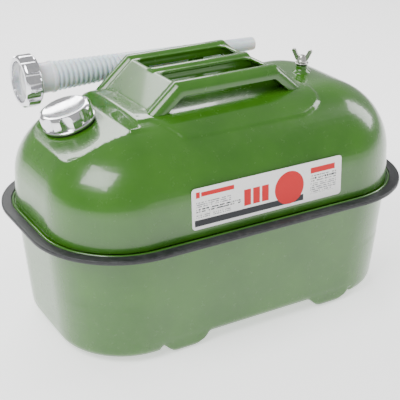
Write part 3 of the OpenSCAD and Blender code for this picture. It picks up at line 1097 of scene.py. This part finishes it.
# %% Printed label
def printed_label():
    """White film with plain printed blocks and a plain disc."""
    finish = Finish("printed_film", IOR=1.45, Specular_IOR_Level=0.3)
    x, y, z = finish.place()
    u, v = x - label_low.x, z - label_low.z
    red, dark, grey = tone(196, 22, 28), tone(38, 40, 44), tone(120, 120, 124)
    wear = finish.noise(4, 3)
    colour = finish.mix(finish.range(wear, 0.4, 0.7, 0, 0.3), tone(236, 236, 234), tone(222, 222, 218))

    def box(left, right, low, high):
        return (u > left) * (u < right) * (v > low) * (v < high)

    def ink(area, shade):
        nonlocal colour
        colour = finish.mix(area, colour, shade)

    def lines(left, right, low, high, pitch_mm, share, shade):
        """Rows of broken strokes that stand for small print."""
        row = (v / pitch_mm).math("FRACT", v / pitch_mm) < share
        broken = finish.noise(1.6, 1, stretch=(1, 1, 0.35)) > 0.47
        ink(box(left, right, low, high) * row * broken, shade)

    ink(box(5, 9.5, 34.5, 41), red)
    ink(box(11, 50, 35.4, 40.2), red)
    lines(5, 58, 18.5, 22.5, 4.2, 0.75, dark)
    lines(5, 46, 23.5, 30, 2.2, 0.5, grey)
    ink(box(3, 137, 3.5, 10.5), dark)
    lines(5, 46, 12, 17, 2.1, 0.5, grey)
    for block_left in (62, 73, 84):
        ink(box(block_left, block_left + 8.5, 13.5, 31.5), red)
    distance = ((u - 118.8) * (u - 118.8) + (v - 21.7) * (v - 21.7)).power(0.5)
    ink(distance < 18.6, red)
    ink(box(146, 178, 31.5, 38), red)
    lines(146, 180, 22, 29, 3.5, 0.6, dark)
    lines(146, 180, 8, 20, 2.4, 0.5, grey)
    finish.feed(Base_Color=colour)
    finish.feed(Roughness=finish.range(wear, 0.3, 0.7, 0.28, 0.42))
    finish.bump(finish.noise(3, 2), 0.02, 0.4)
    return finish.material


# %% Give every piece its finish and its body
paint = green_paint()
rubber = black_rubber()
chrome = metal("chrome_plate", (0.80, 0.80, 0.82, 1), (0.70, 0.70, 0.73, 1), 0.07, 0.2, 4.0)
zinc = metal("zinc_plate", (0.62, 0.62, 0.60, 1), (0.45, 0.45, 0.44, 1), 0.28, 0.45, 1.5)
bright = metal("bright_steel", (0.72, 0.71, 0.68, 1), (0.50, 0.50, 0.48, 1), 0.22, 0.4, 1.2)
plastic = white_plastic()
pale_seal = seal_rubber()
label_print = printed_label()

PIECES = [
    (lower, "can", "lower_shell", "green_paint", paint),
    (upper, "can", "upper_shell", "green_paint", paint),
    (trim, "can", "seam_trim", "black_rubber", rubber),
    (handle, "can", "handle", "green_paint", paint),
    (neck, "can", "filler_neck", "plated_steel", zinc),
    (gasket, "cap_gasket", "filler_gasket", "black_rubber", rubber),
    (cap, "cap", "filler_cap", "chrome_plate", chrome),
    (liner, "cap", "filler_liner", "plated_steel", zinc),
    (disc, "cap", "filler_disc", "black_rubber", rubber),
    (boss, "can", "vent_boss", "green_paint", paint),
    (seal, "vent_seat", "vent_seal", "black_rubber", rubber),
    (washer, "vent_seat", "vent_washer", "plated_steel", zinc),
    (bolt, "wing_bolt", "vent_bolt", "bright_steel", bright),
    (spout_mouth, "spout", "spout_base", "white_plastic", plastic),
    (bellows, None, "spout_bellows", "white_plastic", plastic),
    (nose, "spout_nose", "spout_tip", "white_plastic", plastic),
    (ring_nut, "ring_nut", "spout_ring", "chrome_plate", chrome),
    (spout_washer, "spout", "spout_gasket", "white_seal", pale_seal),
    (clips, "can", "spout_clips", "green_paint", paint),
    (label, "can", "front_label", "printed_label", label_print),
]
for piece, body, node_name, slot_name, material in PIECES:
    piece.data.materials.clear()
    piece.data.materials.append(material)
    if body:
        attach(piece, body)
    else:
        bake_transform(piece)
    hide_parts(node_name)
print("pieces:", len(PIECES))

# %% [markdown]
# ## Floor, light and camera
# The can stands on a plain pale floor in an even white studio: a bright sky on every side, a
# large soft panel above and to the left, and a weaker one from the right.

# %% Stage
bpy.ops.mesh.primitive_plane_add(size=12, location=(0, 0, 0))
floor = bpy.context.object
floor.name = "studio_floor"
floor_finish = Finish(
    "studio_floor",
    Base_Color=(0.9, 0.9, 0.9, 1),
    Roughness=0.7,
    Emission_Color=(1, 1, 1, 1),
    Emission_Strength=1.0,
)
floor.data.materials.append(floor_finish.material)

world = bpy.data.worlds.new("studio")
bpy.context.scene.world = world
world.use_nodes = True
backdrop = world.node_tree.nodes["Background"]
backdrop.inputs["Color"].default_value = (1, 1, 1, 1)
backdrop.inputs["Strength"].default_value = 0.55


def panel(name, place, aim, size, power):
    """A rectangular soft light at a place, aimed at a point, in metres and watts."""
    data = bpy.data.lights.new(name, "AREA")
    data.shape = "RECTANGLE"
    data.size, data.size_y = size
    data.energy = power
    lamp = bpy.data.objects.new(name, data)
    bpy.context.collection.objects.link(lamp)
    lamp.location = place
    way = Vector(aim) - Vector(place)
    lamp.rotation_euler = way.to_track_quat("-Z", "Y").to_euler()
    return lamp


panel("top_left_panel", (-1.2, -0.4, 1.5), (0, 0, 0.15), (1.2, 0.8), 40)
panel("right_panel", (1.3, -0.2, 0.9), (0.1, 0, 0.15), (0.5, 0.9), 14)
panel("back_panel", (0.1, 1.6, 1.5), (0, 0, 0.2), (2.0, 0.6), 40)

# %% Camera
camera_data = bpy.data.cameras.new("camera")
camera = bpy.data.objects.new("camera", camera_data)
bpy.context.collection.objects.link(camera)
camera.location = (-0.5316, -0.9084, 0.6033)
LOOK_DOWN, LOOK_RIGHT = math.radians(24.9), math.radians(30)
camera.rotation_euler = (math.radians(90) - LOOK_DOWN, 0, -LOOK_RIGHT)
camera_data.lens = 89.84
camera_data.sensor_width = 36
bpy.context.scene.camera = camera
